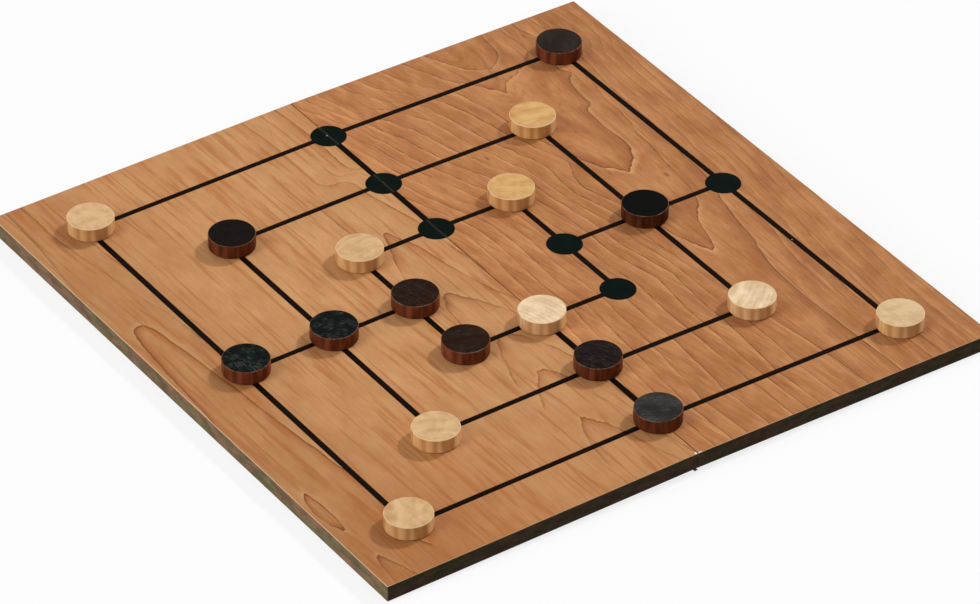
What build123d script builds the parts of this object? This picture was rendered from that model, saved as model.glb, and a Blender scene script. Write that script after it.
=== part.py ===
from build123d import *
import math
import os

# A nine men's morris set: a folding board of two veneered halves, joined under
# the seam by two brass butt hinges, with nine light and nine dark wooden men.
# Sizes are in millimetres. X runs across the seam, Y along it and Z up. The
# origin is on the table, under the middle of the open board.

# Board
BOARD_SIDE = 370.0
CORE_THICKNESS = 8.2
FACE_VENEER_THICKNESS = 0.6
BACK_VENEER_THICKNESS = 0.6
SEAM_GAP = 0.3
CORNER_RADIUS = 0.8
ARRIS = 0.25

# Printed lines and points
PRINT_THICKNESS = 0.1
PRINT_MARGIN = 35.3
PRINT_SHIFT_Y = -1.7
MIDDLE_RING_SHARE = 0.648
INNER_RING_SHARE = 0.319
LINE_WIDTH = 3.25
DOT_DIAMETER = 19.2

# Butt hinges, let in flush with the underside
HINGE_END_DISTANCE = 70.0
HINGE_LENGTH = 30.0
LEAF_REACH = 11.0
LEAF_THICKNESS = 0.8
LEAF_CORNER_RADIUS = 1.2
KNUCKLE_COUNT = 5
KNUCKLE_GAP = 0.12
CURL_GAP = 0.15
PIN_RADIUS = 0.6
PIN_CLEARANCE = 0.05
PIN_HEAD_RADIUS = 1.0
PIN_HEAD_HEIGHT = 0.4
SWING_GAP = 0.3
POCKET_GAP = 0.1

# Countersunk screws, a row in each leaf
SCREWS_PER_LEAF = 3
SCREW_PITCH = 10.0
SCREW_HEAD_RADIUS = 1.8
SCREW_SHANK_RADIUS = 1.0
SCREW_POINT = 2.0
SCREW_COVER = 1.8
SCREW_HOLE_GAP = 0.05
SLOT_WIDTH = 0.5
SLOT_DEPTH = 0.4
SLOT_TURN = 37.0

# Men
MAN_DIAMETER = 25.0
MAN_THICKNESS = 8.0
MAN_EDGE_RADIUS = 0.7

# Each man stands on a point, named as players name it: files a to g from the
# left, ranks 1 to 7 from the near edge. It lies a little off that point in X and
# Y, as a hand leaves it.
FILES = "abcdefg"
LIGHT_MEN = {
    "a7": (2.0, -0.1),
    "f6": (-1.4, 1.0),
    "e5": (0.1, 1.2),
    "c5": (-0.1, -0.4),
    "d3": (-1.1, -2.0),
    "f2": (-1.1, -1.1),
    "b2": (-3.2, -2.9),
    "a1": (-0.2, 0.1),
    "g1": (0.3, -2.2),
}
DARK_MEN = {
    "g7": (-1.5, -1.1),
    "b6": (1.7, -1.6),
    "f4": (0.7, -1.6),
    "b4": (1.6, -0.8),
    "a4": (2.3, 0.8),
    "c4": (1.5, -1.5),
    "c3": (0.6, -0.7),
    "d2": (0.3, -0.3),
    "d1": (-0.2, -0.2),
}

# Everything on one half is drawn with that half flat and the hinge axis at the
# origin. The leaves roll round the pin, so the axis lies one bore radius below
# the underside, and the top of a leaf is one knuckle radius above the axis.
LEFT = -1
RIGHT = 1
HALF_SIDE = BOARD_SIDE / 2
BORE_RADIUS = PIN_RADIUS + PIN_CLEARANCE
KNUCKLE_RADIUS = BORE_RADIUS + LEAF_THICKNESS
UNDERSIDE_Z = BORE_RADIUS
CORE_Z = UNDERSIDE_Z + BACK_VENEER_THICKNESS
FACE_VENEER_Z = CORE_Z + CORE_THICKNESS
PRINT_Z = FACE_VENEER_Z + FACE_VENEER_THICKNESS
MAN_Z = PRINT_Z + PRINT_THICKNESS
SCREW_LENGTH = FACE_VENEER_Z - UNDERSIDE_Z - SCREW_COVER

# The open board stands on its knuckles and on its two outer edges, so each half
# slopes down from the seam by this angle.
EDGE_X = HALF_SIDE - ARRIS
EDGE_FROM_AXIS = math.hypot(EDGE_X, UNDERSIDE_Z)
LIE_ANGLE = math.degrees(
    math.atan(UNDERSIDE_Z / EDGE_X) + math.asin(KNUCKLE_RADIUS / EDGE_FROM_AXIS)
)

RING_HALF_SIDE = HALF_SIDE - PRINT_MARGIN
RING_HALF_SIDES = [
    INNER_RING_SHARE * RING_HALF_SIDE,
    MIDDLE_RING_SHARE * RING_HALF_SIDE,
    RING_HALF_SIDE,
]
HINGE_Y = HALF_SIDE - HINGE_END_DISTANCE
HINGES = {"near": -HINGE_Y, "far": HINGE_Y}
LEAF_INNER_X = KNUCKLE_RADIUS + SWING_GAP
SCREW_X = (LEAF_INNER_X + LEAF_REACH) / 2
KNUCKLE_LENGTH = (HINGE_LENGTH - (KNUCKLE_COUNT - 1) * KNUCKLE_GAP) / KNUCKLE_COUNT


def lay(shape, side):
    """Set a flat half's piece on the table, sloping down from the seam."""
    return Pos(0, 0, KNUCKLE_RADIUS) * Rot(0, side * LIE_ANGLE, 0) * shape


def to_side(shape, side):
    """Take a piece drawn on the right half to the half it belongs to."""
    if side == LEFT:
        return mirror(shape, about=Plane.YZ)
    return shape


def along_y(circle_radius, length):
    """A round bar on the hinge axis."""
    return Rot(90, 0, 0) * Cylinder(circle_radius, length)


# Halves

def half_outline():
    """Plan of the right half, square at the seam and eased at its outer corners."""
    width = HALF_SIDE - SEAM_GAP / 2
    plan = Rectangle(width, BOARD_SIDE, align=(Align.MIN, Align.CENTER))
    outer_corners = plan.vertices().group_by(Axis.X)[-1]
    return Pos(SEAM_GAP / 2, 0) * fillet(outer_corners, CORNER_RADIUS)


def half_sheet(base_z, thickness):
    """One layer of the right half."""
    return Pos(0, 0, base_z) * extrude(half_outline(), thickness)


def outer_rim(sheet, rim_z):
    """The edges of a sheet at one height, without the edge along the seam."""
    rim = sheet.edges().filter_by_position(Axis.Z, rim_z, rim_z)
    return rim - rim.sort_by(Axis.X)[:1]


def hinge_room():
    """Pocket for a leaf let in flush, with the hollow that the knuckles turn in."""
    reach = LEAF_REACH + POCKET_GAP
    length = HINGE_LENGTH + 2 * POCKET_GAP
    plan = Rectangle(reach, length, align=(Align.MIN, Align.CENTER))
    plan = fillet(plan.vertices().group_by(Axis.X)[-1], LEAF_CORNER_RADIUS)
    pocket = extrude(plan, KNUCKLE_RADIUS)
    hollow_length = HINGE_LENGTH + 2 * (PIN_HEAD_HEIGHT + SWING_GAP)
    hollow = along_y(KNUCKLE_RADIUS + SWING_GAP, hollow_length)
    room = pocket + hollow
    for place in screw_places():
        room += place * screw_form(SCREW_HOLE_GAP)
    return room


def let_in_hinges(layer):
    """Cut the room for both hinges out of one layer of a half."""
    for y in HINGES.values():
        layer -= Pos(0, y, 0) * hinge_room()
    return layer


def core(side):
    """Fibreboard core, with its pockets and screw holes."""
    layer = let_in_hinges(half_sheet(CORE_Z, CORE_THICKNESS))
    return lay(to_side(layer, side), side)


def face_veneer(side):
    """Veneer of the playing face, its outer arris taken off."""
    layer = half_sheet(FACE_VENEER_Z, FACE_VENEER_THICKNESS)
    layer = chamfer(outer_rim(layer, PRINT_Z), ARRIS)
    return lay(to_side(layer, side), side)


def back_veneer(side):
    """Plain veneer of the underside, with the pockets cut through it."""
    layer = half_sheet(UNDERSIDE_Z, BACK_VENEER_THICKNESS)
    layer = chamfer(outer_rim(layer, UNDERSIDE_Z), ARRIS)
    layer = let_in_hinges(layer)
    return lay(to_side(layer, side), side)


# Print

def ring_place(index):
    """Distance of a column or row of points from the middle of the print."""
    if index == 0:
        return 0.0
    return math.copysign(RING_HALF_SIDES[abs(index) - 1], index)


def point_place(column, row):
    """Where a point of the print lies on the board."""
    return ring_place(column), ring_place(row) + PRINT_SHIFT_Y


def printed_line(start, end):
    """One line between two points, square past both of them by half its width."""
    x0, y0 = point_place(*start)
    x1, y1 = point_place(*end)
    middle = Pos((x0 + x1) / 2, (y0 + y1) / 2)
    return middle * Rectangle(abs(x1 - x0) + LINE_WIDTH, abs(y1 - y0) + LINE_WIDTH)


def print_plan():
    """Three squares, the four lines that join them, and a dot on each point."""
    shapes = []
    for ring in (1, 2, 3):
        for sign in (-1, 1):
            shapes.append(printed_line((-ring, sign * ring), (ring, sign * ring)))
            shapes.append(printed_line((sign * ring, -ring), (sign * ring, ring)))
        for column in (-ring, 0, ring):
            for row in (-ring, 0, ring):
                if column or row:
                    dot = Circle(DOT_DIAMETER / 2)
                    shapes.append(Pos(*point_place(column, row)) * dot)
    for sign in (-1, 1):
        shapes.append(printed_line((sign, 0), (3 * sign, 0)))
        shapes.append(printed_line((0, sign), (0, 3 * sign)))
    plan = shapes[0]
    for shape in shapes[1:]:
        plan += shape
    return plan


def printed_lines(side):
    """The print on one half, cut off at the seam."""
    layer = Pos(0, 0, PRINT_Z) * extrude(print_plan() & half_outline(), PRINT_THICKNESS)
    return lay(to_side(layer, side), side)


# Screws

def screw_form(room):
    """Body of a countersunk screw, or with some room round it, its hole."""
    head = SCREW_HEAD_RADIUS + room
    shank = SCREW_SHANK_RADIUS + room
    countersink = head - shank
    profile = Polyline(
        (0, 0),
        (head, 0),
        (shank, countersink),
        (shank, SCREW_LENGTH - SCREW_POINT),
        (0, SCREW_LENGTH + room),
        close=True,
    )
    section = Plane.XZ * make_face(profile)
    return revolve(section, Axis.Z)


def screw_places():
    """Seats of the screws of one leaf, heads flush with its outer face."""
    places = []
    for index in range(SCREWS_PER_LEAF):
        y = (index - (SCREWS_PER_LEAF - 1) / 2) * SCREW_PITCH
        turn = SLOT_TURN * (index + 1)
        places.append(Pos(SCREW_X, y, UNDERSIDE_Z) * Rot(0, 0, turn))
    return places


def leaf_screws(side, hinge_y):
    """The slotted screws that hold one leaf."""
    slot = Box(2 * SCREW_HEAD_RADIUS, SLOT_WIDTH, 2 * SLOT_DEPTH)
    screw = screw_form(0) - slot
    row = [Pos(0, hinge_y, 0) * place * screw for place in screw_places()]
    return Compound([lay(to_side(piece, side), side) for piece in row])


# Hinges

def knuckle(index):
    """One curl of a leaf, rolled round the pin, with its strap to the flat plate."""
    y = (index - (KNUCKLE_COUNT - 1) / 2) * (KNUCKLE_LENGTH + KNUCKLE_GAP)
    strap = Box(
        LEAF_INNER_X,
        KNUCKLE_LENGTH,
        LEAF_THICKNESS,
        align=(Align.MIN, Align.CENTER, Align.MIN),
    )
    curl = along_y(KNUCKLE_RADIUS, KNUCKLE_LENGTH)
    curl_end = Box(
        KNUCKLE_RADIUS,
        KNUCKLE_LENGTH,
        CURL_GAP,
        align=(Align.MIN, Align.CENTER, Align.MAX),
    )
    curl = curl - Pos(0, 0, BORE_RADIUS) * curl_end + Pos(0, 0, BORE_RADIUS) * strap
    return Pos(0, y, 0) * (curl - along_y(BORE_RADIUS, KNUCKLE_LENGTH))


def leaf(side, hinge_y):
    """One leaf. The left one has the end knuckles, the right one those between."""
    plan = Rectangle(LEAF_REACH - LEAF_INNER_X, HINGE_LENGTH, align=(Align.MIN, Align.CENTER))
    plan = fillet(plan.vertices().group_by(Axis.X)[-1], LEAF_CORNER_RADIUS)
    plate = Pos(LEAF_INNER_X, 0, UNDERSIDE_Z) * extrude(plan, LEAF_THICKNESS)
    first = 0 if side == LEFT else 1
    for index in range(first, KNUCKLE_COUNT, 2):
        plate += knuckle(index)
    for place in screw_places():
        plate -= place * screw_form(SCREW_HOLE_GAP)
    return lay(to_side(Pos(0, hinge_y, 0) * plate, side), side)


def hinge_pin(hinge_y):
    """The pin, its two ends spread into low heads."""
    pin = along_y(PIN_RADIUS, HINGE_LENGTH)
    head = Cylinder(PIN_HEAD_RADIUS, PIN_HEAD_HEIGHT, align=(Align.CENTER, Align.CENTER, Align.MIN))
    head = fillet(head.edges().group_by(Axis.Z)[-1], PIN_HEAD_HEIGHT / 2)
    for turn in (-90, 90):
        pin += Rot(turn, 0, 0) * Pos(0, 0, HINGE_LENGTH / 2) * head
    return lay(Pos(0, hinge_y, 0) * pin, LEFT)


# Men

def man():
    """A flat round man with eased edges."""
    disc = Cylinder(MAN_DIAMETER / 2, MAN_THICKNESS, align=(Align.CENTER, Align.CENTER, Align.MIN))
    return fillet(disc.edges().filter_by(GeomType.CIRCLE), MAN_EDGE_RADIUS)


def stand(disc, point, off_x, off_y):
    """Set a man on its point. One on the seam lies flat on the left half."""
    rings = len(RING_HALF_SIDES)
    column = FILES.index(point[0]) - rings
    row = int(point[1]) - rings - 1
    x, y = point_place(column, row)
    side = RIGHT if column > 0 else LEFT
    return lay(Pos(x + off_x, y + off_y, MAN_Z) * disc, side)


def build():
    """Every piece of the set, by name."""
    pieces = {}
    for side_name, side in (("left", LEFT), ("right", RIGHT)):
        pieces[side_name + "_core"] = core(side)
        pieces[side_name + "_face_veneer"] = face_veneer(side)
        pieces[side_name + "_back_veneer"] = back_veneer(side)
        pieces[side_name + "_printed_lines"] = printed_lines(side)
        for hinge_name, hinge_y in HINGES.items():
            hinge_side = hinge_name + "_hinge_" + side_name
            pieces[hinge_side + "_leaf"] = leaf(side, hinge_y)
            pieces[hinge_side + "_screws"] = leaf_screws(side, hinge_y)
    for hinge_name, hinge_y in HINGES.items():
        pieces[hinge_name + "_hinge_pin"] = hinge_pin(hinge_y)
    disc = man()
    for colour, places in (("light", LIGHT_MEN), ("dark", DARK_MEN)):
        for number, (point, offset) in enumerate(places.items(), start=1):
            pieces[f"{colour}_man_{number}"] = stand(disc, point, *offset)
    return pieces


os.makedirs("parts", exist_ok=True)
for name, shape in build().items():
    export_step(shape, f"parts/{name}.step")
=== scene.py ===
"""The looks of a folding nine men's morris board with eighteen turned men."""

import math

import bpy
from mathutils import Matrix, Vector


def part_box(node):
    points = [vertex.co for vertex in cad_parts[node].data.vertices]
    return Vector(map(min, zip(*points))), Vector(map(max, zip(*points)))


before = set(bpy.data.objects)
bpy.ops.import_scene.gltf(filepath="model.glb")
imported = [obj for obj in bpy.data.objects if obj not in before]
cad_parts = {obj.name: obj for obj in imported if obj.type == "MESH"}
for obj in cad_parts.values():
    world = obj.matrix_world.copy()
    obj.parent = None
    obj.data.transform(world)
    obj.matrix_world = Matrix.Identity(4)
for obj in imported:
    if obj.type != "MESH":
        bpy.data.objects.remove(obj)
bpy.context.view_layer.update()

METRE = 1000.0


# Lengths are in millimetres. Colours are written as red, green and blue from 0 to 255,
# as a paint card gives them, and the CARD values turn them into light.

CARD_FULL = 255
CARD_TOE = 0.04045
CARD_TOE_SLOPE = 12.92
CARD_LIFT = 0.055
CARD_POWER = 2.4


def paint(red, green, blue):
    """A paint card colour as the shader's own linear colour."""
    channels = []
    for level in (red, green, blue):
        share = level / CARD_FULL
        if share <= CARD_TOE:
            channels.append(share / CARD_TOE_SLOPE)
        else:
            channels.append(((share + CARD_LIFT) / (1 + CARD_LIFT)) ** CARD_POWER)
    return (*channels, 1.0)


# How finishes are written. MIDDLE is the middle of a noise, and RISING and FALLING are
# what an ease gives from its start to its end. SHINE holds the roughness of a finish
# where it is smooth, how much rougher it gets, the depth of its relief, how much of a
# metal it is, and how strongly it mirrors.

MIDDLE = 0.5
RISING = (0.0, 1.0)
FALLING = (1.0, 0.0)
SHINE = {
    "veneer": (0.46, 0.12, 0.04, 0.0, 0.12),
    "stain": (0.72, 0.14, 0.15, 0.0, 0.08),
    "ink": (0.42, 0.16, 0.025, 0.0, 0.012),
    "light_man": (0.42, 0.16, 0.04, 0.0, 0.08),
    "dark_man": (0.34, 0.2, 0.03, 0.0, 0.012),
    "brass": (0.36, 0.1, 0.015, 1.0, 0.5),
    "steel": (0.28, 0.14, 0.01, 1.0, 0.5),
}


class Reading:
    """A number that changes over a surface. Sums on it add Math nodes to its finish."""

    def __init__(self, finish, socket):
        self.finish = finish
        self.socket = socket

    def __add__(self, other):
        return self.finish.maths("ADD", self, other)

    def __sub__(self, other):
        return self.finish.maths("SUBTRACT", self, other)

    def __rsub__(self, other):
        return self.finish.maths("SUBTRACT", other, self)

    def __mul__(self, other):
        return self.finish.maths("MULTIPLY", self, other)

    def __truediv__(self, other):
        return self.finish.maths("DIVIDE", self, other)

    def __rtruediv__(self, other):
        return self.finish.maths("DIVIDE", other, self)

    def __gt__(self, other):
        return self.finish.maths("GREATER_THAN", self, other)

    def __lt__(self, other):
        return self.finish.maths("LESS_THAN", self, other)

    def __abs__(self):
        return self.finish.maths("ABSOLUTE", self)

    __radd__ = __add__
    __rmul__ = __mul__


class Finish:
    """The finish of a surface, or of the sky, made of nodes."""

    def __init__(self, name, shelf="materials", end="ShaderNodeOutputMaterial"):
        self.owner = getattr(bpy.data, shelf).new(name)
        self.owner.use_nodes = True
        self.tree = self.owner.node_tree
        self.tree.nodes.clear()
        self.end = end
        self.where = None

    def node(self, kind, settings, inputs, output=0):
        """Adds a node: its settings first, then the values or links of its sockets."""
        node = self.tree.nodes.new(kind)
        for name, value in settings.items():
            if name == "curve":
                self.bend(node.mapping, value)
            else:
                setattr(node, name, value)
        for name, value in inputs.items():
            socket = node.inputs[name]
            if isinstance(value, Reading):
                self.tree.links.new(value.socket, socket)
            elif socket.type == "VECTOR":
                socket.default_value = value[:3]
            else:
                socket.default_value = value
        if isinstance(output, tuple):
            return [Reading(self, node.outputs[each]) for each in output]
        return Reading(self, node.outputs[output])

    def bend(self, mapping, places):
        """Lays a curve through places, each an x, a y and whether it is a corner."""
        points = mapping.curves[0].points
        points[0].location = places[0][:2]
        points[1].location = places[-1][:2]
        for at, height, _ in places[1:-1]:
            points.new(at, height)
        for point, (_, _, corner) in zip(points, places):
            point.handle_type = "VECTOR" if corner else "AUTO_CLAMPED"
        mapping.update()

    def maths(self, operation, *values):
        """One Math node."""
        settings = {"operation": operation}
        return self.node("ShaderNodeMath", settings, dict(enumerate(values)))

    def vector(self, operation, *values):
        """One Vector Math node."""
        settings = {"operation": operation}
        return self.node("ShaderNodeVectorMath", settings, dict(enumerate(values)))

    def dim(self, colour, level):
        """A colour made darker or lighter by level, or a vector made that much longer."""
        settings = {"operation": "SCALE"}
        inputs = {0: colour, "Scale": level}
        return self.node("ShaderNodeVectorMath", settings, inputs)

    def place(self, centre=(0.0, 0.0, 0.0)):
        """Where a point lies on the piece: its x, y and z from centre."""
        if self.where is None:
            self.where = self.node("ShaderNodeTexCoord", {}, {}, output="Object")
        shifted = self.vector("SUBTRACT", self.dim(self.where, METRE), centre)
        return self.node("ShaderNodeSeparateXYZ", {}, {0: shifted}, output=(0, 1, 2))

    def facing(self):
        """The three parts of the direction that the surface faces."""
        normal = self.node("ShaderNodeTexCoord", {}, {}, output="Normal")
        return self.node("ShaderNodeSeparateXYZ", {}, {0: normal}, output=(0, 1, 2))

    def noise(
        self, x, y, z=0.0, wide=1.0, long=1.0, high=1.0, depth=0.0,
        detail=2.0, roughness=0.5, output=0,
    ):
        """Cloudy noise from 0 to 1. Wide, long and high are the size of a cloud, and
        depth is how deep in the noise it is cut, so that no two patterns are alike."""
        cut = {0: x / wide, 1: y / long, 2: z / high + depth}
        inputs = {
            "Vector": self.node("ShaderNodeCombineXYZ", {}, cut),
            "Scale": 1.0,
            "Detail": detail,
            "Roughness": roughness,
        }
        return self.node("ShaderNodeTexNoise", {}, inputs, output)

    def pair_of_noises(self, x, y, **plan):
        """Two unlike noises from the same place, each from -0.5 to 0.5."""
        colour = self.noise(x, y, output=1, **plan)
        parts = self.node("ShaderNodeSeparateColor", {}, {0: colour}, output=(0, 1))
        return [part - MIDDLE for part in parts]

    def chance(self, number):
        """A random share that stays the same for the same number."""
        settings = {"noise_dimensions": "1D"}
        return self.node("ShaderNodeTexWhiteNoise", settings, {"W": number})

    def ease(self, value, between, gives=RISING):
        """Goes smoothly through what it gives while value goes from start to end."""
        settings = {"interpolation_type": "SMOOTHSTEP"}
        inputs = {0: value, 1: between[0], 2: between[1], 3: gives[0], 4: gives[1]}
        return self.node("ShaderNodeMapRange", settings, inputs)

    def vary(self, share, swing):
        """Goes evenly about one, by swing in all, as share goes from 0 to 1."""
        return 1 + (share - MIDDLE) * swing

    def course(self, value, places, corners=()):
        """Follows a smooth curve through places, pairs of a value and its result."""
        first = places[0][0]
        span = places[-1][0] - first
        results = [result for _, result in places]
        least = min(results)
        reach = max(results) - least
        curve = [
            ((at - first) / span, (result - least) / reach, at in corners)
            for at, result in places
        ]
        share = (value - first) / span
        height = self.node("ShaderNodeFloatCurve", {"curve": curve}, {"Value": share})
        return height * reach + least

    def length(self, x, y):
        """How long the step (x, y) is."""
        return self.maths("SQRT", x * x + y * y)

    def least(self, first, *others):
        """The least of several numbers."""
        for other in others:
            first = self.maths("MINIMUM", first, other)
        return first

    def most(self, first, *others):
        """The greatest of several numbers."""
        for other in others:
            first = self.maths("MAXIMUM", first, other)
        return first

    def blend(self, share, first, second):
        """Goes from the first colour to the second as share goes from 0 to 1."""
        settings = {"data_type": "RGBA"}
        inputs = {0: share, 6: first, 7: second}
        return self.node("ShaderNodeMix", settings, inputs, output=2)

    def surface(self, kind, colour, rough, height):
        """Closes the finish: its colour, how rough it is from 0 to 1, and its relief."""
        smooth, uneven, depth, metal, mirror = SHINE[kind]
        bumps = {"Strength": 1.0, "Distance": depth / METRE, "Height": height}
        inputs = {
            "Base Color": colour,
            "Roughness": smooth + rough * uneven,
            "Normal": self.node("ShaderNodeBump", {}, bumps),
            "Metallic": metal,
            "Specular IOR Level": mirror,
        }
        return self.close(self.node("ShaderNodeBsdfPrincipled", {}, inputs))

    def close(self, shader):
        """Sends a shader to the output, which ends the finish."""
        output = self.tree.nodes.new(self.end)
        self.tree.links.new(shader.socket, output.inputs["Surface"])
        return self


def dress(node_name, finish):
    """Puts a finish on a part of the board."""
    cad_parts[node_name].material_slots[0].material = finish.owner


# Growth rings of the veneer. A ring field rises by one from each ring to the next,
# outwards from the heart line. A leaf's table holds the heart line's x at each y,
# the field along that line, and its rise away from the line at a few stations in y.

RIGHT_LEAF = {
    "corners": (0,),
    "heart": [
        (-185, 117), (-150, 115), (-110, 112), (-50, 109), (33, 115), (80, 109),
        (129, 103), (152, 108.5), (185, 106),
    ],
    "crest": [
        (-185, 3.62), (-150, 3.6), (-110, 3.45), (-79, 3.25), (-50, 3.0), (25, 2.08),
        (33, 2.0), (40, 1.91), (50, 1.85), (60, 1.8), (80, 1.6), (129, 1.0), (152, 0.0),
        (163, -0.45), (185, -0.8),
    ],
    "stations": {
        -150: [
            (-118, 9.5), (-106, 8.4), (-96, 7.4), (-87, 6.4), (-73, 5.4), (-58, 4.4),
            (-49, 3.4), (-41, 2.4), (-29, 1.4), (-11.4, 0.4), (0, 0), (11.4, 0.4),
            (22.5, 1.4), (31, 2.4), (38, 3.4), (45, 4.4), (52, 5.4), (59, 6.4),
            (84, 10),
        ],
        -50: [
            (-118, 11.9), (-109, 10.9), (-100, 10), (-90.5, 9), (-82, 8), (-72, 7),
            (-62, 6), (-50, 5), (-39, 4), (-30, 3), (-24, 2), (-18, 1), (-10.5, 0.38),
            (-6, 0.14), (0, 0), (3, 0.05), (6, 0.16), (9, 0.42), (12, 0.55), (25, 1),
            (38, 2), (47, 3), (54, 4), (61, 5), (68, 6), (84, 8.2),
        ],
        33: [
            (-118, 12.3), (-105, 11), (-97, 10), (-89, 9), (-81, 8), (-73, 7),
            (-65, 6), (-55, 5), (-48, 4), (-42, 3), (-36, 2), (-29, 1), (-24, 0.42),
            (-18, 0.2), (-13, 0.15), (-8.5, 0.12), (-5.5, 0.09), (0, 0), (5.5, 0.09),
            (9, 0.12), (11, 0.15), (14.5, 0.2), (17, 0.3), (21, 1), (33, 2), (42, 3),
            (49, 4), (56, 5), (63, 6), (84, 9),
        ],
        60: [
            (-118, 11.9), (-105, 10.2), (-98, 9.2), (-90, 8.2), (-81, 7.2), (-72, 6.2),
            (-61, 5.2), (-51, 4.2), (-43, 3.2), (-33, 2.2), (-21.5, 1.2), (-17.5, 0.5),
            (-15.5, 0.22), (-12, 0.14), (-5, 0.05), (0, 0), (5, 0.05), (12, 0.13),
            (15.5, 0.2), (20, 0.5), (26, 1.2), (36, 2.05), (44, 3), (51, 3.9),
            (57, 4.8), (64, 5.9), (84, 8.8),
        ],
        100: [
            (-118, 11.3), (-100.4, 9.6), (-93, 8.6), (-84.5, 7.6), (-76.7, 6.6),
            (-66.3, 5.6), (-56.3, 4.6), (-46, 3.6), (-36.5, 2.6), (-24.7, 1.6),
            (-16.4, 0.63), (-9, 0.3), (0, 0), (8, 0.15), (17, 0.32), (25, 0.46),
            (31, 0.63), (40, 1.6), (49, 2.6), (55.6, 3.6), (62.3, 4.6), (68.5, 5.6),
            (84, 8.3),
        ],
        129: [
            (-118, 10.9), (-103, 9.8), (-97, 9), (-89, 8), (-82, 7), (-72, 6),
            (-62, 5), (-50, 4), (-41, 3), (-29, 1.95), (-19, 0.98), (-10, 0.4), (0, 0),
            (7, 0.28), (13.5, 0.5), (25, 0.66), (33, 0.8), (41, 1.02), (48, 2), (54, 3),
            (60, 4), (66, 5), (72, 6), (84, 8.2),
        ],
        175: [
            (-118, 10), (-106, 8.7), (-98, 7.7), (-90, 6.7), (-83, 5.7), (-74, 4.7),
            (-63, 3.7), (-47, 2.7), (-34, 1.7), (-19, 0.7), (0, 0), (15.5, 0.7),
            (28, 1.7), (37, 2.7), (48, 3.7), (55, 4.7), (62, 5.7), (70, 6.7), (84, 8.4),
        ],
    },
}
OUTER_LEAF = {
    "corners": (),
    "heart": [
        (-185, -175), (-163, -175.4), (-120, -178.2), (-101, -178.2), (-40, -173.5),
        (61, -171.4), (185, -171),
    ],
    "crest": [
        (-185, -0.35), (-163, 0.0), (-155, 0.12), (-140, 0.03), (-120, -0.15),
        (-101, 0.0), (-75, 0.18), (-25, 0.47), (41, 0.88), (61, 1.0), (74, 1.3),
        (118, 1.75), (150, 1.9), (185, 1.92),
    ],
    "stations": {
        -175: [
            (-14, 1.0), (-10, 0.7), (-4.1, 0.25), (-2.8, 0.1), (0, 0), (3.4, 0.1),
            (7, 0.3), (15, 0.7), (28, 1.2), (34, 1.5),
        ],
        -120: [
            (-14, 0.9), (-8, 0.5), (-4.3, 0.13), (0, 0), (2, 0.13), (15, 0.6),
            (30, 1.1), (34, 1.3),
        ],
        -75: [(-14, 0.6), (-7, 0.3), (0, 0), (10, 0.3), (24, 0.82), (34, 1.4)],
        -25: [
            (-15, 0.7), (-11, 0.5), (0, 0), (12, 0.35), (14.5, 0.53), (20, 0.9),
            (34, 1.7),
        ],
        60: [
            (-14, 0.35), (-10, 0.12), (-6, 0.03), (0, 0), (3, 0.03), (6, 0.12),
            (10, 0.3), (16, 0.8), (24, 1.6), (34, 2.4),
        ],
        175: [(-14, 0.5), (-8, 0.1), (0, 0.05), (10, 0.4), (16, 1.1), (34, 2.8)],
    },
}
INNER_LEAF = {
    "corners": (),
    "heart": [
        (-185, -30), (-130, -30.8), (-84, -25), (-45, -24), (-2.5, -28.4), (20, -27),
        (56, -24.7), (80, -26.5), (100, -29), (106, -31), (111, -38), (115, -43.5),
        (124, -45), (150, -45), (185, -47),
    ],
    "crest": [
        (-185, -2.0), (-130, -1.0), (-84, 0.0), (-45, 1.0), (-2.5, 2.0), (56, 3.0),
        (65, 3.1), (100, 3.28), (185, 3.25),
    ],
    "stations": {
        0: [
            (-45, 5), (-15, 0.9), (-11, 0.55), (-8, 0.3), (-5, 0.15), (0, 0), (5, 0.13),
            (9.5, 0.28), (13, 0.5), (16, 0.72), (19.6, 0.95), (23, 1.3), (26, 1.55),
            (30, 2), (50, 4),
        ],
    },
}
HALF_BOARD = 185
OUTER_JOINT_X = -148.0
INNER_JOINT_X = -43.0
LEAF_SLANT = 0.016
FIELD_STEP = 0.5
FLATTEST = 0.004


def ring_field(finish, leaf, x, y):
    """The ring field of one leaf at (x, y)."""
    away = x - finish.course(y, leaf["heart"])
    field = finish.course(y, leaf["crest"])
    stations = sorted(leaf["stations"])
    if len(stations) == 1:
        return field + finish.course(away, leaf["stations"][stations[0]])
    order = [(at, rank) for rank, at in enumerate(stations)]
    turn = finish.course(y, order)
    turn = finish.most(finish.least(turn, len(stations) - 1.0), 0.0)
    for rank, at in enumerate(stations):
        near = finish.most(1 - abs(turn - rank), 0.0)
        rise = finish.course(away, leaf["stations"][at], corners=leaf["corners"])
        field = field + near * rise
    return field


def rings(finish, field, x, y):
    """The field, its ring, its slope, and how far the ring's two sides are."""
    here = field(x, y)
    across = field(x + FIELD_STEP, y) - here
    along = field(x, y + FIELD_STEP) - here
    slope = finish.length(across, along) / FIELD_STEP + FLATTEST
    share = finish.maths("FRACT", here)
    number = finish.maths("FLOOR", here)
    return here, number, slope, (1 - share) / slope, share / slope


BROAD_DRIFT = {"wide": 22, "long": 48}
BROAD_DRIFT_X = 2.6
BROAD_DRIFT_Y = 12
SMALL_DRIFT = {"wide": 2.6, "long": 7.5, "depth": 7.0, "detail": 3.0}
SMALL_DRIFT_X = 1.1
SMALL_DRIFT_Y = 6


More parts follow.
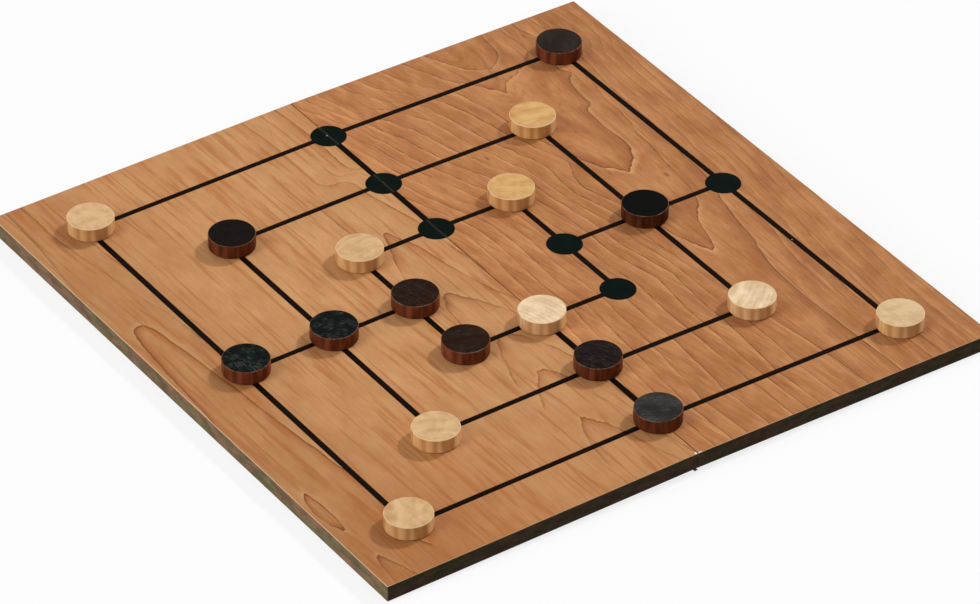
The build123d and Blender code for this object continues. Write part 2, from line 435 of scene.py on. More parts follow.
def wander(finish, x, y):
    """Shifts (x, y) a little, as rings wander, so that lines are never ruled."""
    broad_x, broad_y = finish.pair_of_noises(x, y, **BROAD_DRIFT)
    small_x, small_y = finish.pair_of_noises(x, y, **SMALL_DRIFT)
    drifted_x = x + broad_x * BROAD_DRIFT_X + small_x * SMALL_DRIFT_X
    drifted_y = y + broad_y * BROAD_DRIFT_Y + small_y * SMALL_DRIFT_Y
    return drifted_x, drifted_y


# Veneer wood. A ring's line is darkest at its late side, with a warm halo before it and
# a pale band after it. Its power is how strongly it shows: it fades from ring to ring
# and from patch to patch, and least at the crown, where the rings lie flat.

GRAIN = {
    "patch": {"wide": 22, "long": 46, "depth": 3.0},
    "breaks": {"wide": 5, "long": 10, "depth": 51.0},
    "cloud": {"wide": 13, "long": 30, "depth": 11.0, "detail": 4.0, "roughness": 0.6},
    "growth": {"long": 90, "depth": 17.0, "detail": 3.0, "roughness": 0.6},
    "band": {"wide": 4.2, "long": 150, "depth": 31.0, "detail": 4.0, "roughness": 0.6},
    "streak": {"wide": 1.5, "long": 26, "depth": 5.0, "detail": 3.0, "roughness": 0.65},
    "fibre": {"wide": 0.5, "long": 8, "depth": 61.0},
    "sway": {"wide": 9, "long": 16, "depth": 81.0},
    "hair": {"wide": 6.5, "long": 170, "depth": 41.0, "detail": 1.0},
    "hair_patch": {"wide": 6, "long": 40, "depth": 71.0},
    "dash": {"wide": 0.7, "long": 6, "depth": 21.0},
}
SHADES_A_RING = 6.5
FLANK = 0.6
CROWN_GAIN = 2.2
LEAST_LUCK = 0.6
LINE_SPREAD = 0.7
CROWN_SPREAD = 0.6
LINE_START = 0.15
LINE_COVER = 0.95
HALO_WIDTH = 9.0
PALE_WIDTH = 3.2
HAIR_SWAY = 1.6
STREAK_RELIEF = 0.3
FIBRE_RELIEF = 0.4
DASH_RELIEF = 0.3
RIGHT_LOOKS = {
    "dark": paint(168, 107, 62),
    "pale": paint(193, 134, 84),
    "late": paint(152, 92, 50),
    "early": paint(210, 156, 104),
    "line": paint(112, 66, 35),
    "line_width": 1.1,
    "growth": 0.2,
    "band": 0.22,
    "streak": 0.62,
    "fibre": 0.44,
    "halo": 0.7,
    "glow": 0.85,
    "hair": 0.5,
    "dash": 0.2,
}
LEFT_LOOKS = {
    "dark": paint(187, 133, 85),
    "pale": paint(200, 149, 100),
    "late": paint(168, 99, 48),
    "early": paint(210, 163, 114),
    "line": paint(120, 69, 33),
    "line_width": 1.5,
    "growth": 0.05,
    "band": 0.15,
    "streak": 0.27,
    "fibre": 0.26,
    "halo": 0.95,
    "glow": 0.45,
    "hair": 0.62,
    "dash": 0.1,
}


def ring_power(finish, grain, slope, number, strength):
    """How strongly a ring shows, and how much of a crown it makes."""
    luck = finish.chance(number)
    crown = finish.ease(slope, between=(0.02, 0.11), gives=(1.0, FLANK))
    broken = finish.ease(grain("breaks"), between=(0.4, 0.56), gives=(0.25, 1.0))
    patch = finish.ease(grain("patch"), between=(0.32, 0.6), gives=(0.38, 1.0))
    faded = (LEAST_LUCK + luck * (1 - LEAST_LUCK)) * patch * finish.most(broken, crown)
    return strength * finish.most(faded, (crown - FLANK) * CROWN_GAIN), crown


def veneer_surface(finish, looks, field, x, y, lay_x, strength, warmth, level):
    """Wood colour with its growth lines, bands, pores and clouds, and its relief."""

    def grain(name, at_x=x):
        return finish.noise(at_x, y, **GRAIN[name])

    warped_x, warped_y = wander(finish, x, y)
    here, number, slope, inside, outside = rings(finish, field, warped_x, warped_y)
    power, crown = ring_power(finish, grain, slope, number, strength)
    line_end = (crown * CROWN_SPREAD + LINE_SPREAD) * looks["line_width"]
    line = finish.ease(inside, between=(LINE_START, line_end), gives=FALLING) * power
    halo = finish.ease(inside, between=(0.0, HALO_WIDTH), gives=FALLING) * power
    halo = halo * crown * looks["halo"]
    pale = finish.ease(outside, between=(0.0, PALE_WIDTH), gives=FALLING) * power
    pale = pale * crown * looks["glow"]
    shade = finish.ease(grain("cloud"), between=(0.3, 0.7))
    growth = grain("growth", here * SHADES_A_RING) - MIDDLE
    band = grain("band", lay_x) - MIDDLE
    streak = grain("streak", lay_x) - MIDDLE
    fibre = grain("fibre", lay_x) - MIDDLE
    hair = abs(grain("hair", lay_x + grain("sway") * HAIR_SWAY) - MIDDLE)
    hair = finish.ease(hair, between=(0.0, 0.07), gives=FALLING) * looks["hair"]
    shown = finish.ease(grain("hair_patch"), between=(0.4, 0.58), gives=(0.1, 1.0))
    dash = finish.ease(grain("dash", lay_x), between=(0.62, 0.74))
    colour = finish.blend(shade, looks["dark"], looks["pale"])
    colour = finish.blend(finish.most(halo, warmth), colour, looks["late"])
    colour = finish.blend(pale, colour, looks["early"])
    colour = finish.blend(hair * shown, colour, looks["late"])
    colour = finish.blend(finish.least(line * LINE_COVER, 1.0), colour, looks["line"])
    drift = growth * looks["growth"] + band * looks["band"]
    thread = streak * looks["streak"] + fibre * looks["fibre"]
    tone = level * (1 + drift + thread) * (1 - dash * looks["dash"])
    relief = MIDDLE + streak * STREAK_RELIEF + fibre * FIBRE_RELIEF - dash * DASH_RELIEF
    return finish.dim(colour, tone), relief


# Small oval marks, each an x, a y, half its width and length, and its colour

KNOT_BROWN = paint(116, 66, 38)
KNOTS = (
    (129.5, 21.0, 1.3, 3.2, KNOT_BROWN),
    (58.6, 85.0, 0.9, 2.6, KNOT_BROWN),
    (142.0, 171.0, 0.8, 3.6, KNOT_BROWN),
)
KNOT_CORE = 0.4
KNOT_COVER = 0.7
CHIPS = (
    (-0.9, -185.0, 0.8, 2.0, paint(240, 232, 220)),
    (1.4, -185.1, 1.7, 0.9, paint(236, 214, 194)),
    (0.5, 185.0, 1.4, 1.4, paint(96, 54, 30)),
)
CHIP_CORE = 0.7
CHIP_COVER = 0.9


def with_marks(finish, colour, x, y, marks, core, cover):
    """Marks a colour with small ovals, whose edges are soft outside their core."""
    for mark_x, mark_y, half_width, half_length, shade in marks:
        reach = finish.length((x - mark_x) / half_width, (y - mark_y) / half_length)
        share = finish.ease(reach, between=(core, 1.0), gives=(cover, 0.0))
        colour = finish.blend(share, colour, shade)
    return colour


# Edges of the board. The arris is pale bare wood, made paler still at the left and right
# sides as a painted highlight, the seam has bare wood in it, and the print's ink has run
# into the seam beside the print.

FACE_ARRIS = paint(232, 196, 154)
STAIN_GREEN = paint(100, 92, 66)
STAIN_BROWN = paint(117, 90, 72)
SEAM_EDGE = paint(160, 102, 58)
INK_BLACK = paint(24, 14, 9)
PRINT_SHIFT_Y = -1.7
SEAM_INK_START = 38.2
SEAM_INK_END = 159.3
SEAM_INK_Z = 9.0
STAIN = {
    "blotch": {"wide": 7, "long": 7, "high": 2.5, "detail": 3.0},
    "hue": {"wide": 13, "long": 13, "high": 5, "depth": 20},
    "fibre": {"wide": 0.9, "long": 0.9, "high": 0.35, "detail": 3.0, "roughness": 0.65},
    "layer": {"wide": 60, "long": 60, "high": 0.6},
}
LAYER_RELIEF = 0.3


def stain(finish, x, y, z):
    """The near-black stain of the board's edges, with painted light that makes the left
    and right edges paler and the near and far edges darker.
    """

    def cloud(name):
        return finish.noise(x, y, z, **STAIN[name])

    east, _, _ = finish.facing()
    # Painted light: edges facing left or right are made paler, edges facing near or far
    # darker.
    painted_side_light = finish.ease(abs(east), between=(0.3, 0.8), gives=(0.52, 1.6))
    brown = finish.ease(cloud("hue"), between=(0.38, 0.62))
    fibre = cloud("fibre")
    layer = cloud("layer")
    colour = finish.blend(brown, STAIN_GREEN, STAIN_BROWN)
    tone = painted_side_light * finish.ease(cloud("blotch"), between=(0.25, 0.75), gives=(0.7, 1.3))
    tone = tone * finish.vary(fibre, swing=0.4) * finish.vary(layer, swing=0.2)
    relief = fibre * (1 - LAYER_RELIEF) + layer * LAYER_RELIEF
    return finish.dim(colour, tone), relief


def close_veneer(finish, colour, relief, x, y, z, arris):
    """Adds the pale arris with its painted highlight, the stained edge, the seam's ink and
    the satin lacquer.
    """
    east, _, up = finish.facing()
    tilt = abs(up)
    at_seam = finish.ease(abs(x), between=(1.0, 1.4), gives=FALLING)
    along = abs(y - PRINT_SHIFT_Y)
    inked = (along > SEAM_INK_START) * (along < SEAM_INK_END) * at_seam * (z > SEAM_INK_Z)
    edge, _ = stain(finish, x, y, z)
    edge = finish.blend(at_seam, edge, SEAM_EDGE)
    edge = finish.blend(inked, edge, INK_BLACK)
    # Painted highlight: the pale bare-wood arris shows fully at the left and right sides
    # and weaker at the near and far sides.
    painted_side_light = finish.ease(abs(east), between=(0.05, 0.3), gives=(0.4, 1.0)) * (1 - at_seam)
    painted_side_light = painted_side_light * finish.ease(tilt, between=(0.78, 0.97), gives=FALLING)
    colour = finish.blend(painted_side_light, colour, arris)
    at_edge = finish.ease(tilt, between=(0.3, 0.6), gives=FALLING)
    colour = finish.blend(at_edge, colour, edge)
    return finish.surface("veneer", colour, relief, relief)


def right_veneer():
    """One wide crown-cut leaf, whose rings point towards the near edge."""
    finish = Finish("right_face_veneer")
    x, y, z = finish.place()

    def field(at_x, at_y):
        return ring_field(finish, RIGHT_LEAF, at_x, at_y)

    # Painted light falloff: the leaf is made darker towards its right edge and towards the
    # near edge. It is also brighter close to the seam.
    level = finish.ease(x, between=(0, HALF_BOARD), gives=(1.0, 0.95))
    level = level * finish.ease(y, between=(-HALF_BOARD, 60), gives=(0.98, 1.01))
    level = level * finish.ease(x, between=(0, 50), gives=(1.085, 1.0))
    strength = finish.ease(x, between=(140, 168), gives=(1.05, 0.5))
    lay_x = x + y * finish.ease(x, between=(90, 130), gives=(0.2, -0.05))
    colour, relief = veneer_surface(
        finish, RIGHT_LOOKS, field, x, y, lay_x, strength, 0.0, level
    )
    colour = with_marks(finish, colour, x, y, KNOTS, KNOT_CORE, KNOT_COVER)
    colour = with_marks(finish, colour, x, y, CHIPS, CHIP_CORE, CHIP_COVER)
    return close_veneer(finish, colour, relief, x, y, z, FACE_ARRIS)


LEFT_LEVELS = [
    (-185, 0.90), (-150, 0.93), (-146, 0.95), (-74, 1.03), (-44, 1.0), (0, 1.01),
]
OUTER_STRENGTH = 1.15
INNER_STRENGTH_LOSS = 0.3


def left_warmth(finish, x, y):
    """The warmer tone near the near edge, in the far corner and along the side."""
    low = finish.ease(y, between=(-195, -20), gives=(0.6, 0.0))
    low = low * finish.ease(x, between=(-160, -40), gives=(1.0, 0.4))
    far = finish.ease(y, between=(100, 175), gives=(0.0, 0.16))
    far = far * finish.ease(x, between=(-90, -45), gives=FALLING)
    side = finish.ease(x, between=(-HALF_BOARD, -70), gives=(0.26, 0.0))
    return finish.most(low, far, side)


def left_veneer():
    """Three leaves side by side: flame figure at both sides, straight in the middle."""
    finish = Finish("left_face_veneer")
    x, y, z = finish.place()
    past_outer = x > OUTER_JOINT_X
    past_inner = x > INNER_JOINT_X

    def field(at_x, at_y):
        outer = ring_field(finish, OUTER_LEAF, at_x, at_y)
        inner = ring_field(finish, INNER_LEAF, at_x, at_y)
        left_of = outer * (1 - past_outer) + past_outer * MIDDLE
        return left_of + (inner - MIDDLE) * past_inner

    level = finish.course(x, LEFT_LEVELS)
    level = level * finish.ease(y, between=(-HALF_BOARD, 20), gives=(0.965, 1.01))
    off_joint = finish.least(abs(x - OUTER_JOINT_X), abs(x - INNER_JOINT_X))
    strength = OUTER_STRENGTH - past_inner * INNER_STRENGTH_LOSS
    strength = strength * finish.ease(off_joint, between=(0.6, 1.4))
    fading = finish.ease(y, between=(20, 110), gives=(0.0, 0.5))
    strength = strength * (1 - (1 - past_outer) * fading)
    lay_x = x + y * LEAF_SLANT
    warmth = left_warmth(finish, x, y)
    colour, relief = veneer_surface(
        finish, LEFT_LOOKS, field, x, y, lay_x, strength, warmth, level
    )
    colour = with_marks(finish, colour, x, y, CHIPS, CHIP_CORE, CHIP_COVER)
    return close_veneer(finish, colour, relief, x, y, z, FACE_ARRIS)


BACK = {
    "bend": {"wide": 60, "long": 160, "depth": 2.0},
    "stripe": {"wide": 4.5, "long": 210, "depth": 3.0, "detail": 4.0, "roughness": 0.6},
    "streak": {"wide": 0.9, "long": 30, "depth": 5.0, "detail": 3.0},
    "pore": {"wide": 0.33, "long": 4.2, "depth": 9.0},
}
BACK_BEND = 14
BACK_PORE_TONE = 0.1
BACK_STREAK_RELIEF = 0.3
BACK_PORE_RELIEF = 0.5
BACK_DARK = paint(172, 118, 76)
BACK_PALE = paint(201, 152, 106)


def back_veneer():
    """The plain straight-grained leaves under the board."""
    finish = Finish("back_veneer")
    x, y, z = finish.place()
    bent_x = x + finish.noise(x, y, **BACK["bend"]) * BACK_BEND
    stripe = finish.noise(bent_x, y, **BACK["stripe"])
    streak = finish.noise(bent_x, y, **BACK["streak"])
    pore = finish.ease(finish.noise(x, y, **BACK["pore"]), between=(0.6, 0.74))
    shade = finish.ease(stripe, between=(0.3, 0.7))
    colour = finish.blend(shade, BACK_DARK, BACK_PALE)
    tone = finish.vary(streak, swing=0.2) * (1 - pore * BACK_PORE_TONE)
    colour = finish.dim(colour, tone)
    relief = MIDDLE + (streak - MIDDLE) * BACK_STREAK_RELIEF - pore * BACK_PORE_RELIEF
    return close_veneer(finish, colour, relief, x, y, z, STAIN_BROWN)


def stained_board():
    """Fibreboard stained nearly black, its sawn edges mottled and slightly layered."""
    finish = Finish("stained_fibreboard")
    x, y, z = finish.place()
    colour, relief = stain(finish, x, y, z)
    return finish.surface("stain", colour, relief, relief)


# Print: dots on the points and bars between them. A speck is an x, a y and a radius.

RING_HALF_SIDES = (47.8, 97.0, 149.7)
DOT_EDGE = (9.5, 10.0)
DOT_BLACK = paint(6, 16, 12)
BAR_BLACK = paint(20, 11, 6)
WORN_INK_AND_HIGHLIGHT = paint(150, 140, 126)
SPECKS = ((-0.6, 148.6, 0.7), (149.2, -63.0, 0.55), (0.3, 96.2, 0.35))
SPECK_WHITE = paint(196, 196, 190)
SPECK_CORE = 0.6
INK_CLOUD = {"wide": 6, "long": 6, "depth": 1.0, "detail": 3.0}
INK_WEAVE = {"wide": 0.4, "long": 0.4, "depth": 4.0}
WEAVE_AT_SEAM = 0.5
WEAVE_AT_SPECK = 0.3


def print_ink():
    """Screen-printed ink, green-black in the dots and brown-black in the bars."""
    finish = Finish("printed_ink")
    x, y, _ = finish.place()
    across = abs(x)
    along = abs(y - PRINT_SHIFT_Y)
    far = finish.most(across, along)
    close = finish.least(across, along)
    reaches = []
    for half_side in RING_HALF_SIDES:
        reaches.append(finish.length(far - half_side, close))
        reaches.append(finish.length(far - half_side, close - half_side))
    dot = finish.ease(finish.least(*reaches), between=DOT_EDGE, gives=FALLING)
    cloud = finish.noise(x, y, **INK_CLOUD)
    weave = finish.noise(x, y, **INK_WEAVE)
    colour = finish.blend(dot, BAR_BLACK, DOT_BLACK)
    tone = finish.ease(cloud, between=(0.2, 0.8), gives=(0.75, 1.3))
    colour = finish.dim(colour, tone)
    # The dots are paler along the seam, partly where the ink is worn off and partly a
    # painted highlight where the seam's arris catches the light.
    off_seam = across + weave * WEAVE_AT_SEAM
    seam_wear_and_highlight = finish.ease(off_seam, between=(0.35, 0.85), gives=(0.38, 0.0)) * dot
    colour = finish.blend(seam_wear_and_highlight, colour, WORN_INK_AND_HIGHLIGHT)
    for speck_x, speck_y, radius in SPECKS:
        reach = finish.length(x - speck_x, y - speck_y) + weave * WEAVE_AT_SPECK
        soft = (radius * SPECK_CORE, radius)
        spot = finish.ease(reach, between=soft, gives=FALLING)
        colour = finish.blend(spot, colour, SPECK_WHITE)
    return finish.surface("ink", colour, weave, weave)


# Metal

METAL = {
    "brush": {"wide": 0.12, "long": 6, "high": 0.12},
    "tarnish": {"wide": 3.5, "long": 3.5, "high": 3.5, "detail": 4.0, "roughness": 0.6},
    "draw": {"wide": 0.1, "long": 5, "high": 0.1},
    "dull": {"wide": 2, "long": 2, "high": 2, "detail": 3.0},
}
BRASS_POLISH = 1.2
STEEL_DARK = paint(138, 136, 132)
STEEL_PALE = paint(186, 185, 182)


def brass(name, pale, dark):
    """Brushed brass sheet with a light tarnish, smoother where it is bright."""
    finish = Finish(name)
    x, y, z = finish.place()
    brush = finish.noise(x, y, z, **METAL["brush"])
    tarnish = finish.noise(x, y, z, **METAL["tarnish"])
    shade = finish.ease(tarnish, between=(0.3, 0.72))
    colour = finish.dim(finish.blend(shade, dark, pale), finish.vary(brush, swing=0.2))
    return finish.surface("brass", colour, brush - shade * BRASS_POLISH, brush)


def steel():
    """Drawn steel wire, a little dull."""
    finish = Finish("steel_pin")
    x, y, z = finish.place()
    draw = finish.noise(x, y, z, **METAL["draw"])
    dull = finish.noise(x, y, z, **METAL["dull"])
    colour = finish.blend(dull, STEEL_DARK, STEEL_PALE)
    return finish.surface("steel", colour, dull, draw)


# Men, cut from turned dowels, so that their tops are end grain. Each has its rings'
# direction in degrees, how far off the heart of the tree is, the ring width, how
# strongly rings show, how strongly flecks show on a light man and painted sheen on a dark
# one, and its two colours. A dark man's side has a level too.

CREAM = (paint(242, 217, 180), paint(212, 178, 136))
MAPLE = (paint(221, 184, 137), paint(194, 149, 103))
HONEY = (paint(219, 178, 116), paint(196, 141, 87))
BISCUIT = (paint(221, 192, 149), paint(200, 160, 115))
LIGHT_LOOKS = {
    "light_man_1": (10, 60, 2.4, 0.2, 1.2, MAPLE),
    "light_man_2": (78, 90, 6.0, 0.6, 0.1, HONEY),
    "light_man_3": (55, 90, 2.2, 0.35, 0.1, HONEY),
    "light_man_4": (98, 30, 3.0, 0.45, 0.5, MAPLE),
    "light_man_5": (17, 60, 1.6, 0.45, 0.6, CREAM),
    "light_man_6": (-50, 70, 3.6, 0.7, 0.1, CREAM),
    "light_man_7": (62, 26, 3.0, 0.3, 1.1, MAPLE),
    "light_man_8": (-35, 70, 9.0, 0.6, 0.2, MAPLE),
    "light_man_9": (15, 40, 2.6, 0.2, 1.0, BISCUIT),
}
MAN_SIDE = (paint(190, 128, 66), paint(244, 200, 139))
MAN_RIM_HIGHLIGHT = paint(248, 220, 178)
FLECK_GREY = paint(150, 128, 98)
# The dark palettes give the tops' black together with a painted soft sheen.
SLATE = (paint(62, 60, 56), paint(30, 27, 24))
SOOT = (paint(56, 45, 39), paint(28, 20, 16))
EBONY = (paint(28, 21, 18), paint(12, 8, 6))
SABLE = (paint(40, 28, 27), paint(20, 12, 12))
PITCH = (paint(10, 12, 8), paint(4, 5, 3))
BLUED = (paint(20, 25, 22), paint(6, 9, 7))
UMBER = (paint(50, 31, 20), paint(24, 13, 8))
DARK_LOOKS = {
    "dark_man_1": (-35, 60, 9.0, 0.8, 0.2, SOOT, 1.05),
    "dark_man_2": (80, 50, 5.0, 0.5, 0.1, EBONY, 0.85),
    "dark_man_3": (20, 60, 5.0, 0.5, 0.0, PITCH, 0.55),
    "dark_man_4": (60, 40, 2.4, 0.8, 0.85, BLUED, 1.05),
    "dark_man_5": (10, 35, 2.8, 0.8, 0.95, BLUED, 1.1),
    "dark_man_6": (20, 50, 3.0, 0.8, 0.4, UMBER, 1.15),
    "dark_man_7": (70, 55, 6.0, 0.6, 0.3, UMBER, 1.15),
    "dark_man_8": (28, 40, 3.0, 0.9, 0.35, SABLE, 0.9),
    "dark_man_9": (55, 60, 7.0, 0.7, 0.8, SLATE, 0.85),
}
ROSEWOOD_DARK = paint(77, 40, 25)
ROSEWOOD_RED = paint(119, 63, 39)
RIM_WEAR_AND_HIGHLIGHT = paint(150, 130, 112)
SHEEN_GREY = paint(100, 108, 104)
END_GRAIN = {
    "rings": {"long": 40, "detail": 3.0, "roughness": 0.6},
    "flecks": {"wide": 0.7, "long": 0.7, "high": 9, "detail": 3.0, "roughness": 0.65},
    "smudges": {"wide": 6, "long": 6, "high": 30, "detail": 3.0},
    "scratches": {"wide": 0.3, "long": 3.0},
}
LIGHT_PANELS = {"wide": 4.5, "long": 4.5, "high": 40, "detail": 1.0}
LIGHT_STREAKS = {"wide": 0.9, "long": 0.9, "high": 30}
DARK_STREAKS = {"wide": 3.6, "long": 3.6, "high": 30}

# How much each mark counts: in the colour of a man's top, side and rim, and in its relief.
# The light rim is a painted highlight, the dark rim wear and painted highlight, and the
# dark top's grey marks painted sheen.

LIGHT_SMUDGE = 0.5
LIGHT_SCRATCH = 0.25
LIGHT_FLECK_COVER = 0.6
LIGHT_PANEL_SHARE = 0.85
LIGHT_SIDE_GRAIN = 0.25
LIGHT_RIM_HIGHLIGHT_COVER = 0.7
LIGHT_FLECK_RELIEF = 0.6
DARK_RINGS = 0.7
DARK_SMUDGE = 0.5
DARK_SHEEN_COVER = 0.5
DARK_RIM_WEAR_AND_HIGHLIGHT_COVER = 0.65
DARK_FLECK_RELIEF = 0.5


def man_wood(finish, name, turn, heart, ring):
    """A man's own x, y and z, then its end grain: rings, flecks, smudges, scratches."""
    low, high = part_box(name)
    centre = (low + high) / 2 * METRE
    x, y, z = finish.place(centre)
    swing = math.radians(turn)
    ahead = x * math.cos(swing) + y * math.sin(swing) + heart
    aside = y * math.cos(swing) - x * math.sin(swing)
    seed = (low.x + low.y * 3) * METRE
    reach = finish.length(ahead, aside)
    bands = finish.noise(reach, aside, wide=ring, depth=seed, **END_GRAIN["rings"])
    bands = finish.ease(bands, between=(0.34, 0.66))
    flecks = finish.noise(x, y, z, depth=seed, **END_GRAIN["flecks"])
    smudges = finish.noise(x, y, z, depth=seed, **END_GRAIN["smudges"])
    scratches = finish.noise(reach, aside, z, depth=seed, **END_GRAIN["scratches"])
    return x, y, z, bands, flecks, smudges, scratches


def rim_of(finish, tilt, from_side, to_top):
    """The rounded rim of a man: one between its side and its top, and soft at both."""
    off_top = finish.ease(tilt, between=to_top, gives=FALLING)
    return finish.ease(tilt, between=from_side) * off_top


def light_man(name, turn, heart, ring, band_power, fleck_and_sheen_power, colours):
    """A man of pale maple, its side warmer than its top and its rim given a painted
    highlight.
    """
    finish = Finish(name)
    x, y, z, bands, flecks, smudges, scratches = man_wood(
        finish, name, turn, heart, ring
    )
    _, _, up = finish.facing()
    tilt = abs(up)
    smudged = finish.ease(smudges, between=(0.35, 0.7)) * LIGHT_SMUDGE
    shade = bands * band_power + smudged + (scratches - MIDDLE) * LIGHT_SCRATCH
    colour = finish.blend(finish.most(finish.least(shade, 1.0), 0.0), *colours)
    grey = finish.ease(flecks, between=(0.58, 0.68)) * fleck_and_sheen_power
    grey = grey * finish.ease(smudges, between=(0.42, 0.58))
    colour = finish.blend(grey * LIGHT_FLECK_COVER, colour, FLECK_GREY)
    panels = finish.noise(x, y, z, **LIGHT_PANELS)
    streaks = finish.noise(x, y, z, **LIGHT_STREAKS)
    side_shade = panels * LIGHT_PANEL_SHARE + streaks * (1 - LIGHT_PANEL_SHARE)
    side = finish.blend(finish.ease(side_shade, between=(0.32, 0.68)), *MAN_SIDE)
    side = finish.blend(LIGHT_SIDE_GRAIN, side, colour)
    colour = finish.blend(finish.ease(tilt, between=(0.5, 0.95)), side, colour)
    # Painted highlight: the rounded rim is made paler.
    rim = rim_of(finish, tilt, (0.3, 0.6), (0.8, 0.97))
    colour = finish.blend(rim * LIGHT_RIM_HIGHLIGHT_COVER, colour, MAN_RIM_HIGHLIGHT)
    relief = flecks * LIGHT_FLECK_RELIEF + streaks * (1 - LIGHT_FLECK_RELIEF)
    return finish.surface("light_man", colour, flecks, relief)


def dark_man(name, turn, heart, ring, band_power, fleck_and_sheen_power, colours, side_level):
    """A man with a black polished top, its sheen painted on, and a red-brown side."""
    finish = Finish(name)
    x, y, z, bands, flecks, smudges, scratches = man_wood(
        finish, name, turn, heart, ring
    )
    _, _, up = finish.facing()
    tilt = abs(up)
    shade = bands * band_power * DARK_RINGS + smudges * DARK_SMUDGE
    cover = finish.blend(finish.least(shade, 1.0), *colours)
    # Painted sheen: grey streaks along the scratches, in patches, on the top.
    painted_sheen = finish.ease(scratches, between=(0.45, 0.7)) * fleck_and_sheen_power
    painted_sheen = painted_sheen * finish.ease(smudges, between=(0.42, 0.6))
    cover = finish.blend(painted_sheen * DARK_SHEEN_COVER, cover, SHEEN_GREY)
    streaks = finish.noise(x, y, z, **DARK_STREAKS)
    red = finish.ease(streaks, between=(0.3, 0.7))
    side = finish.blend(red, ROSEWOOD_DARK, ROSEWOOD_RED)
    mottle = finish.ease(smudges, between=(0.35, 0.65), gives=(1.2, 0.75))
    side = finish.dim(side, mottle * side_level)
    colour = finish.blend(finish.ease(tilt, between=(0.6, 0.98)), side, cover)
    # Wear and painted highlight: the rounded rim is made paler in broken patches.
    rim = rim_of(finish, tilt, (0.35, 0.6), (0.75, 0.95))
    rim = rim * finish.ease(flecks, between=(0.35, 0.6))
    rim = rim * finish.ease(smudges, between=(0.4, 0.56), gives=(0.2, 1.0))
    colour = finish.blend(rim * DARK_RIM_WEAR_AND_HIGHLIGHT_COVER, colour, RIM_WEAR_AND_HIGHLIGHT)
    relief = flecks * DARK_FLECK_RELIEF + scratches * (1 - DARK_FLECK_RELIEF)
    return finish.surface("dark_man", colour, flecks, relief)


# Dress the board

dress("right_face_veneer", right_veneer())
dress("left_face_veneer", left_veneer())
under = back_veneer()
stained = stained_board()
ink = print_ink()
for half in ("left", "right"):
    dress(f"{half}_back_veneer", under)
    dress(f"{half}_core", stained)
    dress(f"{half}_printed_lines", ink)
leaf_brass = brass("hinge_brass", paint(214, 176, 104), paint(160, 124, 66))
screw_brass = brass("screw_brass", paint(222, 186, 116), paint(168, 132, 74))
wire = steel()
for end in ("near", "far"):
    dress(f"{end}_hinge_pin", wire)
    for half in ("left", "right"):
        dress(f"{end}_hinge_{half}_leaf", leaf_brass)
        dress(f"{end}_hinge_{half}_screws", screw_brass)
for name, looks in LIGHT_LOOKS.items():
    dress(name, light_man(name, *looks))
for name, looks in DARK_LOOKS.items():
    dress(name, dark_man(name, *looks))


# Studio: a white sweep, even skylight, and soft lamps. A lamp's level is its share of
# the light that a level surface gets, so with the sky's the shares add up to one. Its
# height and spread are in degrees. The floor's side and the lamps' distance are in metres.

FLOOR_SIDE = 12.0
FLOOR_WHITE = (1.0, 1.0, 1.0, 1.0)
FLOOR_GREY = paint(128, 127, 125)
FLOOR_CLOUD = {"wide": 400, "long": 400, "depth": 1.0}
SKY_LEVEL = 0.2
SHADOW_SHARE = 0.22
SEAM_STRIP = 1.0
SEAM_REACH = 184.0
LAMPS = {
    "main_lamp": {"from": (1.0, 0.14), "height": 41, "level": 0.36, "spread": 6},
    "left_lamp": {"from": (-1.0, 0.1), "height": 46, "level": 0.16, "spread": 22},
    "low_lamp": {"from": (-1.0, 0.08), "height": 13, "level": 0.09, "spread": 40},
    "fill_lamp": {"from": (0.9, -0.45), "height": 18, "level": 0.035, "spread": 50},
    "top_lamp": {"from": (0.2, 0.5), "height": 78, "level": 0.155, "spread": 70},
}
LAMP_DISTANCE = 2.0


def seen_directly(finish):
    """One where the camera, a mirror or clear glass looks straight at the surface."""
    rays = ("Is Camera Ray", "Is Glossy Ray", "Is Transmission Ray")
    return finish.most(*finish.node("ShaderNodeLightPath", {}, {}, output=rays))


def white_sweep():
    """A white floor that keeps a soft shadow, and doesn't shine up through the seam."""
    finish = Finish("studio_floor")
    x, y, _ = finish.place()
    cloud = finish.noise(x, y, **FLOOR_CLOUD)
    under_seam = (abs(x) < SEAM_STRIP) * (abs(y) < SEAM_REACH)
    seen = seen_directly(finish) * (1 - under_seam)
    tone = finish.blend(seen, FLOOR_GREY, FLOOR_WHITE)
    tone = finish.dim(tone, finish.vary(cloud, swing=0.02))
    matt = {"Color": tone, "Roughness": 1.0}
    lit = finish.node("ShaderNodeBsdfDiffuse", {}, matt)
    white = {"Color": FLOOR_WHITE, "Strength": 1.0}
    glow = finish.node("ShaderNodeEmission", {}, white)
    share = seen * (1 - SHADOW_SHARE)
    finish.close(finish.node("ShaderNodeMixShader", {}, {0: share, 1: lit, 2: glow}))
    bpy.ops.object.select_all(action="DESELECT")
    bpy.ops.mesh.primitive_plane_add(size=FLOOR_SIDE)
    floor = bpy.context.object
    floor.name = "studio_floor"
    floor.data.materials.append(finish.owner)


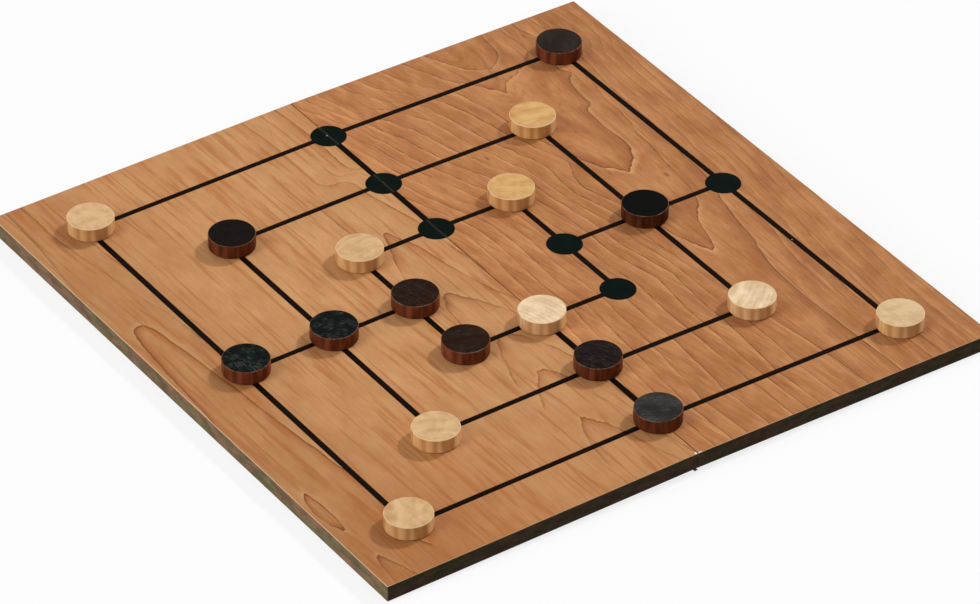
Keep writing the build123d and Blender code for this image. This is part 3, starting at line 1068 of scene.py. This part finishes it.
def skylight():
    """An even pale sky, seen as white behind the board."""
    sky = Finish("studio_sky", "worlds", "ShaderNodeOutputWorld")
    level = SKY_LEVEL + seen_directly(sky) * (1 - SKY_LEVEL)
    pale = {"Color": FLOOR_WHITE, "Strength": level}
    sky.close(sky.node("ShaderNodeBackground", {}, pale))
    bpy.context.scene.world = sky.owner


def hang_lamp(name, plan):
    """A soft lamp far off, whose level is what it adds to a level white surface."""
    height = math.radians(plan["height"])
    lamp = bpy.data.lights.new(name, "SUN")
    lamp.energy = plan["level"] * math.pi / math.sin(height)
    lamp.angle = math.radians(plan["spread"])
    holder = bpy.data.objects.new(name, lamp)
    side_x, side_y = plan["from"]
    level_reach = math.cos(height) / math.hypot(side_x, side_y)
    towards = Vector((side_x * level_reach, side_y * level_reach, math.sin(height)))
    holder.rotation_euler = towards.to_track_quat("Z", "Y").to_euler()
    holder.location = towards * LAMP_DISTANCE
    bpy.context.scene.collection.objects.link(holder)


white_sweep()
skylight()
for name, plan in LAMPS.items():
    hang_lamp(name, plan)


# Camera: what it looks at and how far off, in metres, its angles in degrees, and its
# lens and sensor as cameras give them

AIM = Vector((-0.01364, -0.02296, 0.0116))
AIM_DISTANCE = 3.2095
VIEW_TURN = 34.886
VIEW_DOWN = 36.08
VIEW_ROLL = 0.621
LENS = 230.555
SENSOR_WIDTH = 36.0
FARTHEST = 50.0


def stand_camera():
    """A long lens a good way off, looking down on the board from its near left."""
    turn = math.radians(VIEW_TURN)
    down = math.radians(VIEW_DOWN)
    roll = math.radians(VIEW_ROLL)
    level = math.cos(down)
    ahead = Vector((math.sin(turn) * level, math.cos(turn) * level, -math.sin(down)))
    level_right = Vector((math.cos(turn), -math.sin(turn), 0))
    level_up = level_right.cross(ahead)
    right = level_right * math.cos(roll) + level_up * math.sin(roll)
    up = right.cross(ahead)
    camera = bpy.data.objects.new("camera", bpy.data.cameras.new("camera"))
    camera.data.sensor_width = SENSOR_WIDTH
    camera.data.lens = LENS
    camera.data.clip_end = FARTHEST
    pose = Matrix((right, up, -ahead)).transposed().to_4x4()
    pose.translation = AIM - ahead * AIM_DISTANCE
    camera.matrix_world = pose
    bpy.context.scene.collection.objects.link(camera)
    bpy.context.scene.camera = camera


stand_camera()
bpy.context.scene.view_settings.view_transform = "Standard"
